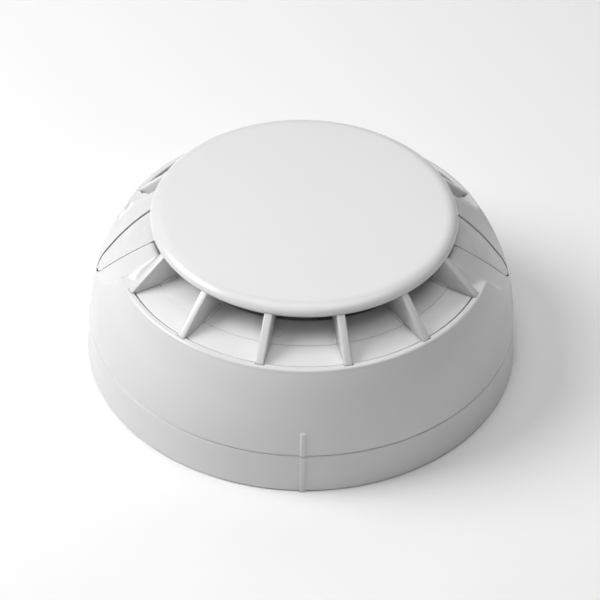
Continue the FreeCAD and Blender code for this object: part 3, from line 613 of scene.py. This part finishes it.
def make_finishes():
    """Every finish, by the record's slot."""
    look = bpy.context.scene.detector_finish
    FINISHES.update({
        "white_shell": moulded("white_shell", tuple(look.shell), look.roughness),
        "white_base": moulded("white_base", tuple(look.base), look.roughness + 0.03),
        "grey_chassis": moulded("grey_chassis", (0.62, 0.62, 0.61, 1), 0.45, 0.12, 0.96),
        "milky_lens": resin("milky_lens", tuple(look.lens), 0.24, 0.0, 0.0),
        "lamp_resin": resin("lamp_resin", (0.72, 0.05, 0.04, 1), 0.12, 0.4),
        "board_laminate": laminate("board_laminate"),
        "zinc_screws": metal("zinc_screws", (0.72, 0.73, 0.75, 1), 0.3, (1, 1, 6)),
        "zinc_clamps": metal("zinc_clamps", (0.68, 0.69, 0.70, 1), 0.36, (6, 1, 1)),
        "contact_brass": metal("contact_brass", (0.80, 0.62, 0.28, 1), 0.28, (1, 6, 1)),
        "mast_plastic": moulded("mast_plastic", (0.70, 0.70, 0.68, 1), 0.4, 0.1, 0.97),
        "lead_wire": metal("lead_wire", (0.75, 0.75, 0.74, 1), 0.25, (1, 1, 8)),
        "bead_epoxy": resin("bead_epoxy", (0.05, 0.05, 0.05, 1), 0.2),
        "chip_epoxy": moulded("chip_epoxy", (0.028, 0.028, 0.03, 1), 0.5, 0.3, 0.85),
        "capacitor_ceramic": moulded("capacitor_ceramic", (0.62, 0.50, 0.34, 1), 0.45, 0.2, 0.9),
        "capacitor_sleeve": moulded("capacitor_sleeve", (0.03, 0.04, 0.10, 1), 0.3, 0.08, 0.85),
    })


# ---------------------------------------------------------------- operators
class DETECTOR_OT_finishes(bpy.types.Operator):
    """Make the finishes and put them on the pieces that keep their CAD shape"""

    bl_idname = "detector.finishes"
    bl_label = "Finishes"

    def execute(self, context):
        make_finishes()
        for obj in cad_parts.values():
            for number, material in enumerate(obj.data.materials):
                slot = material.name.split(".")[0]
                if slot not in FINISHES:
                    raise RuntimeError(f"no finish for slot {slot} of {obj.name}")
                obj.data.materials[number] = FINISHES[slot]
        return {"FINISHED"}


class DETECTOR_OT_base(bpy.types.Operator):
    """Build the mounting base: skirt, floor with its holes, terminal posts and the front mark"""

    bl_idname = "detector.base"
    bl_label = "Base"

    def execute(self, context):
        section = [(12.2, 0.0), (49.7, 0.0), (49.9, 0.06), (49.98, 0.25)]
        section += line((49.955, 0.5), (49.185, 9.28), 8)
        section += arc((48.77, 9.31), 0.4, 4.0, 90.0, 5)
        section += [(48.15, 9.71), (48.0, 9.66), (47.95, 9.5), (47.95, 2.2), (47.75, 2.0), (12.2, 2.0),
                    (12.0, 1.8), (12.0, 0.2)]
        base = spun("base_form", [(r, min(z, BASE_TOP)) for r, z in section])
        slot_points = []
        for y, first in FIXING_ENDS:
            slot_points += arc((0.0, y), FIXING_RADIUS, first, first + 180.0, 10)
        cutter = slab("fixing_slot", [(x, y, -1.0) for x, y in slot_points], (0, 0, FIXING_CUT))
        for tool in both_sides(cutter):
            carve(base, tool)
        parts = [base, *self.terminals(), *self.ledges()]
        outer = [(50.33, 0.02), (49.55, 9.0), (49.4, 9.45), (49.2, 9.64)]
        parts.append(mark("base_mark", outer))
        finished(joined(parts, "base_moulding"), "base", ["base_ring"], FINISHES["white_base"])
        return {"FINISHED"}

    @staticmethod
    def terminals():
        """Four posts, each between two guides for its clamp."""
        post = spun("post", POST, [(40, 360.0)])
        post.data.transform(Matrix.Translation((TERMINAL_REACH * MM, 0, 0)))
        guide = slab("guide", GUIDE, (0, 0, GUIDE_TALL))
        bevel(guide, 0.25, 2)
        twin = turned(guide, 0.0)
        twin.data.transform(Matrix.Translation((0, GUIDE_STEP * MM, 0)))
        group = joined([post, guide, twin], "terminal_seat")
        made = [turned(group, angle) for angle in TERMINAL_OTHERS]
        group.data.transform(Matrix.Rotation(math.radians(TERMINAL_FIRST), 4, "Z"))
        return [group, *made]

    @staticmethod
    def ledges():
        """Three bayonet ledges and the stop beside each."""
        made = []
        for low, angle, turn in LEDGES:
            ends = [(LEDGE_NEAR, low), (LEDGE_FAR, low), (LEDGE_FAR, LEDGE_HIGH), (LEDGE_NEAR, LEDGE_HIGH)]
            ledge = pen("ledge", upright(ends))
            bpy.ops.mesh.edge_face_add()
            bpy.ops.mesh.spin(steps=max(int(angle), 3), angle=math.radians(angle),
                              center=(0, 0, 0), axis=(0, 0, 1))
            tidy_mesh()
            ledge.data.transform(Matrix.Rotation(math.radians(turn - angle / 2), 4, "Z"))
            bevel(ledge, 0.2, 2, 50.0)
            made += [ledge, turned(ledge, 120.0), turned(ledge, 240.0)]
        return made


class DETECTOR_OT_cover(bpy.types.Operator):
    """Build the domed cover with its lip, side facets, lens windows, rib notches and front mark"""

    bl_idname = "detector.cover"
    bl_label = "Cover"

    def execute(self, context):
        sizes = context.scene.detector_sizes
        fold, edge = sizes.fold / MM, sizes.tongue_edge / MM
        plain = cover_section(90.0, fold, edge)
        cover = spun("cover_form", plain, SIDED)
        settle(cover, plain, lambda off: cover_section(off, fold, edge))
        activate(cover)
        bpy.ops.object.mode_set(mode="EDIT")
        tidy_mesh()
        for tool in both_sides(slab("lens_window", leaf_outline(WINDOW_GROW, 16.0), (0, 0, 24.0))):
            carve(cover, tool)
        corners = ((NOTCH_NEAR, -NOTCH_HALF), (NOTCH_FAR, -NOTCH_HALF),
                   (NOTCH_FAR, NOTCH_HALF), (NOTCH_NEAR, NOTCH_HALF))
        notch = slab("rib_notch", [(x, y, NOTCH_FLOOR) for x, y in corners], (0, 0, NOTCH_TALL))
        notches = [turned(notch, rib_angle(k)) for k in rib_stations()]
        bpy.data.objects.remove(notch)
        carve(cover, joined(notches, "rib_notches"))
        outer = [(r + MARK_PROUD, z) for r, z in dome_arc(DOME_RADIUS, HEAD_LOW + 0.02, MARK_TOP, 8)]
        outer.append((outer[-1][0] - 0.2, 15.75))
        cover = joined([cover, mark("head_mark", outer)], "cover_moulding")
        finished(cover, "head", ["outer_cover"], FINISHES["white_shell"])
        return {"FINISHED"}


class DETECTOR_OT_lenses(bpy.types.Operator):
    """Build the two leaf-shaped indicator lenses"""

    bl_idname = "detector.lenses"
    bl_label = "Lenses"

    def execute(self, context):
        rows, columns = 44, 14
        clear_selection()
        bpy.ops.mesh.primitive_grid_add(x_subdivisions=rows, y_subdivisions=columns, size=1.0)
        lens = context.object
        lens.name = "lens"
        for vertex in lens.data.vertices:
            along, across = vertex.co.x + 0.5, vertex.co.y * 2
            x = LENS_NEAR + (LENS_TIP - LENS_NEAR) * math.sin(along * math.pi / 2)
            half = leaf_half(x, -LENS_GAP + TIP_GROW * smooth((x - TIP_FROM) / TIP_RUN))
            crown = LENS_CROWN * (1 - across**2)
            vertex.co = Vector((x, across * half, facet_height(x) + crown - LENS_RECESS)) * MM
        bpy.ops.object.mode_set(mode="EDIT")
        bpy.ops.mesh.select_all(action="SELECT")
        bpy.ops.mesh.extrude_region_move(TRANSFORM_OT_translate={"value": Vector(LENS_SINK) * MM})
        tidy_mesh()
        bevel(lens, 0.22, 3, 40.0)
        corners = ((PIPE_NEAR, -PIPE_HALF), (PIPE_FAR, -PIPE_HALF),
                   (PIPE_FAR, PIPE_HALF), (PIPE_NEAR, PIPE_HALF))
        pipe = slab("pipe", [(x, y, PIPE_LOW) for x, y in corners], (0, 0, PIPE_TALL))
        bevel(pipe, 0.3, 2)
        lens = joined([lens, pipe], "lens_right")
        left = turned(lens, 0.0, "lens_left", mirror=True)
        for piece, node in ((lens, "indicator_lens_right"), (left, "indicator_lens_left")):
            finished(piece, "head", [node], FINISHES["milky_lens"])
        return {"FINISHED"}


def rib_stations():
    """The vane stations, every one but the two at the lenses."""
    return [k for k in range(STATIONS) if k % (STATIONS // 2)]


def rib_angle(station):
    return station * 360.0 / STATIONS


class DETECTOR_OT_vanes(bpy.types.Operator):
    """Build the twelve vanes and the hoop that carries them under the disc"""

    bl_idname = "detector.vanes"
    bl_label = "Vanes"

    def execute(self, context):
        half = RIB_THICK / 2
        vane = slab("vane", upright(VANE, -half), (0, RIB_THICK, 0))
        bevel(vane, context.scene.detector_sizes.rib_edge / MM, 3, 20.0)
        wide = half + ROOT_OVER
        skirt = slab("vane_root", upright(VANE_ROOT, -wide), (0, 2 * wide, 0))
        bevel(skirt, 0.3, 3, 60.0)
        vane = joined([vane, skirt], "vane")
        vanes = [turned(vane, rib_angle(k)) for k in rib_stations()]
        bpy.data.objects.remove(vane)
        hoop = spun("hoop", HOOP)
        ring = joined([hoop, *vanes], "vane_moulding")
        finished(ring, "head", ["vane_ring"], FINISHES["white_shell"])
        return {"FINISHED"}


class DETECTOR_OT_vent_floor(bpy.types.Operator):
    """Build the funnel under the vanes, with its crease and the pin mark in the front bay"""

    bl_idname = "detector.vent_floor"
    bl_label = "Vent floor"

    def execute(self, context):
        section = [(3.4, 25.6), (3.4, 29.3), (3.6, 29.5), (4.8, 29.5), (5.0, 29.3)]
        section += line((5.0, 27.35), (5.15, 27.2), 1) + line((12.0, 27.2), (28.2, 27.2), 4) + [(28.4, 27.4)]
        section += [(28.4, 29.8)] + arc((29.0, 29.8), 0.6, 180.0, 90.0, 4)[1:] + [(29.4, 30.39), (29.6, 30.36)]
        section += line(FUNNEL_HIGH, (35.2, 29.02), 9) + [(35.3, 28.8)]
        section += line((35.4, 28.84), (40.75, 28.37), 9)
        section += [(40.9, 28.3), (40.95, 28.15), (40.95, 27.0), (35.3, 27.0), (30.6, 26.4), (29.9, 25.6)]
        funnel = spun("funnel_form", section)
        for tool in both_sides(slab("tongue_room", tongue_outline(VENT_CLEAR, 24.0), (0, 0, 12.0))):
            carve(funnel, tool)
        clear_selection()
        bpy.ops.mesh.primitive_torus_add(major_radius=PIN_RADIUS * MM, minor_radius=PIN_WIRE * MM,
                                         major_segments=40, minor_segments=10)
        pin = context.object
        slope = math.atan2(FUNNEL_HIGH[1] - FUNNEL_LOW[1], FUNNEL_LOW[0] - FUNNEL_HIGH[0])
        level = PIN_LEVEL - (PIN_REACH - FUNNEL_HIGH[0]) * math.tan(slope)
        turn, lean = Matrix.Rotation(math.radians(PIN_TURN), 4, "Z"), Matrix.Rotation(slope, 4, "Y")
        pin.data.transform(turn @ Matrix.Translation((PIN_REACH * MM, 0, level * MM)) @ lean)
        funnel = joined([funnel, pin], "vent_moulding")
        look = context.scene.detector_finish
        # the funnel's skin is painted lighter than the shell (painted light), and painted shade darkens its
        # inner mouth
        skin = paint_throat_shade(moulded("vent_skin", shade(look.shell, VENT_PAINTED_LIGHT), look.roughness))
        finished(funnel, "head", ["vent_floor"], skin, VENT_SMOOTH)
        return {"FINISHED"}


class DETECTOR_OT_disc(bpy.types.Operator):
    """Build the broad top disc with its rolled rim"""

    bl_idname = "detector.disc"
    bl_label = "Disc"

    def execute(self, context):
        crown = context.scene.detector_sizes.disc_crown / MM
        steps = range(RIM_STEPS + 1)
        section = [(DISC_FLAT * k / RIM_STEPS, DISC_TOP - crown * (k / RIM_STEPS) ** 2) for k in steps]
        section += self.rim((DISC_FLAT, DISC_TOP - crown), DISC_EDGE)
        section += [(34.2, 36.36), (34.05, 36.3), (33.0, 36.3), (20.0, 36.3), (0.0, 36.3)]
        disc = spun("disc_form", section, closed=False)
        look = context.scene.detector_finish
        # the disc's skin is painted lighter than the shell: painted light
        skin = moulded("disc_skin", shade(look.shell, DISC_PAINTED_LIGHT), look.roughness)
        finished(disc, "head", ["top_disc"], skin)
        disc.name = "disc_moulding"
        return {"FINISHED"}

    @staticmethod
    def rim(start, end):
        """A quarter of an oval from the flat to the edge."""
        wide, deep = end[0] - start[0], start[1] - end[1]
        turns = [math.pi / 2 * k / RIM_STEPS for k in range(1, RIM_STEPS + 1)]
        return [(start[0] + wide * math.sin(t), end[1] + deep * math.cos(t)) for t in turns]


class DETECTOR_OT_stage(bpy.types.Operator):
    """Set the floor, the lights and the camera"""

    bl_idname = "detector.stage"
    bl_label = "Stage"

    def execute(self, context):
        studio = context.scene.detector_studio
        clear_selection()
        bpy.ops.mesh.primitive_plane_add(size=FLOOR_SIZE, location=(0, 0, 0))
        floor = context.object
        floor.name = "studio_floor"
        floor.data.transform(Matrix.Translation((0, 0, FLOOR_DROP)))
        made, _, shader = new_material("studio_floor")
        shader.inputs["Base Color"].default_value = FLOOR_COLOUR
        shader.inputs["Roughness"].default_value = FLOOR_ROUGHNESS
        floor.data.materials.append(made)
        world = bpy.data.worlds.new("studio")
        world.use_nodes = True
        sky = world.node_tree.nodes["Background"]
        sky.inputs["Color"].default_value = (1, 1, 1, 1)
        sky.inputs["Strength"].default_value = studio.ambient
        context.scene.world = world
        for name, place, size, power, wide in LIGHTS:
            self.light(name, place, size, getattr(studio, power), wide)
        context.scene.view_settings.view_transform = "Standard"
        self.camera(context, studio)
        return {"FINISHED"}

    @staticmethod
    def light(name, place, size, power, wide):
        """A disc of light, or a panel where it has a width, aimed at the object."""
        lamp = bpy.data.lights.new(name, "AREA")
        lamp.shape, lamp.size, lamp.energy = "RECTANGLE" if wide else "DISK", wide or size, power
        lamp.size_y = size
        obj = bpy.data.objects.new(name, lamp)
        aim = (Vector(LIGHT_AIM) - Vector(place)).to_track_quat("-Z", "Y").to_matrix().to_4x4()
        obj.matrix_world = Matrix.Translation(place) @ aim
        bpy.context.scene.collection.objects.link(obj)

    @staticmethod
    def camera(context, studio):
        lens = bpy.data.cameras.new("camera")
        lens.sensor_width, lens.lens = SENSOR, FOCAL
        lens.shift_x, lens.shift_y = SHIFT
        obj = bpy.data.objects.new("camera", lens)
        turn = Matrix.Rotation(studio.swing, 4, "Z")
        back = Vector((0, -math.cos(studio.elevation), math.sin(studio.elevation))) * studio.distance
        tilt = Matrix.Rotation(math.pi / 2 - studio.elevation, 4, "X") @ Matrix.Rotation(studio.roll, 4, "Z")
        obj.matrix_world = turn @ Matrix.Translation(back) @ tilt
        context.scene.collection.objects.link(obj)
        context.scene.camera = obj


class DETECTOR_PT_panel(bpy.types.Panel):
    """Lists the detector's settings and its building steps"""

    bl_label = "Detector"
    bl_idname = "DETECTOR_PT_panel"
    bl_space_type = "VIEW_3D"
    bl_region_type = "UI"
    bl_category = "Detector"

    def draw(self, context):
        for group in SETTINGS:
            box = self.layout.box()
            settings = getattr(context.scene, group)
            for name in settings.bl_rna.properties.keys():
                if name not in ("rna_type", "name"):
                    box.prop(settings, name)
        for step in STEPS:
            self.layout.operator(step.bl_idname)


SETTINGS = {
    "detector_sizes": DetectorSizes,
    "detector_finish": DetectorFinish,
    "detector_studio": DetectorStudio,
}
STEPS = (DETECTOR_OT_finishes, DETECTOR_OT_base, DETECTOR_OT_cover, DETECTOR_OT_lenses, DETECTOR_OT_vanes,
         DETECTOR_OT_vent_floor, DETECTOR_OT_disc, DETECTOR_OT_stage)


def register():
    for made in (*SETTINGS.values(), *STEPS, DETECTOR_PT_panel):
        bpy.utils.register_class(made)
    for name, group in SETTINGS.items():
        setattr(bpy.types.Scene, name, bpy.props.PointerProperty(type=group))


def unregister():
    for name in SETTINGS:
        delattr(bpy.types.Scene, name)
    for made in reversed((*SETTINGS.values(), *STEPS, DETECTOR_PT_panel)):
        bpy.utils.unregister_class(made)


def main():
    register()
    for step in STEPS:
        group, name = step.bl_idname.split(".")
        getattr(getattr(bpy.ops, group), name)()


if __name__ == "__main__":
    main()
